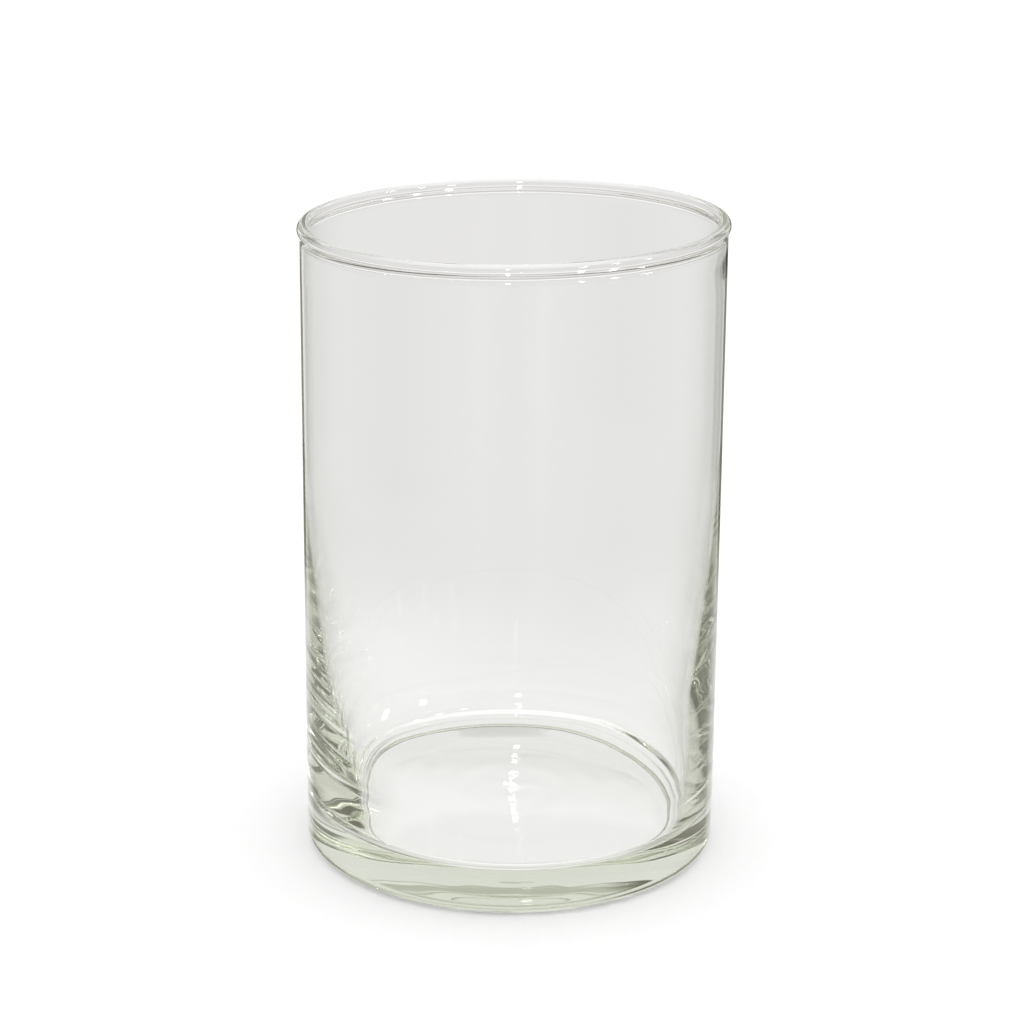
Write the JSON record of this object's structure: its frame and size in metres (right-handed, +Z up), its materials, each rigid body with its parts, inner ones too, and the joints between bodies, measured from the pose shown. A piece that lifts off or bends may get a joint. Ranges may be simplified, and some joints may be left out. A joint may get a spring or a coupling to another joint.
{
  "type": "glass cylinder vase",
  "caption": "Straight-sided clear glass cylinder vase with a rounded rim bead, a thick flat floor and a shallow hollow under its base.",
  "frame": {"origin": "centre of the foot ring, on the surface that the vase stands on", "axes": "+Z up along the vase's axis, towards the mouth; X and Y are any two directions across it, because the vase is round"},
  "size_m": [0.0992, 0.0992, 0.153],
  "materials": {
    "clear_glass": "fire-polished clear soda-lime glass, smooth, with a faint green tint where it is thick"
  },
  "bodies": {
    "root": {"glass_vessel": "clear_glass"}
  },
  "joints": []
}
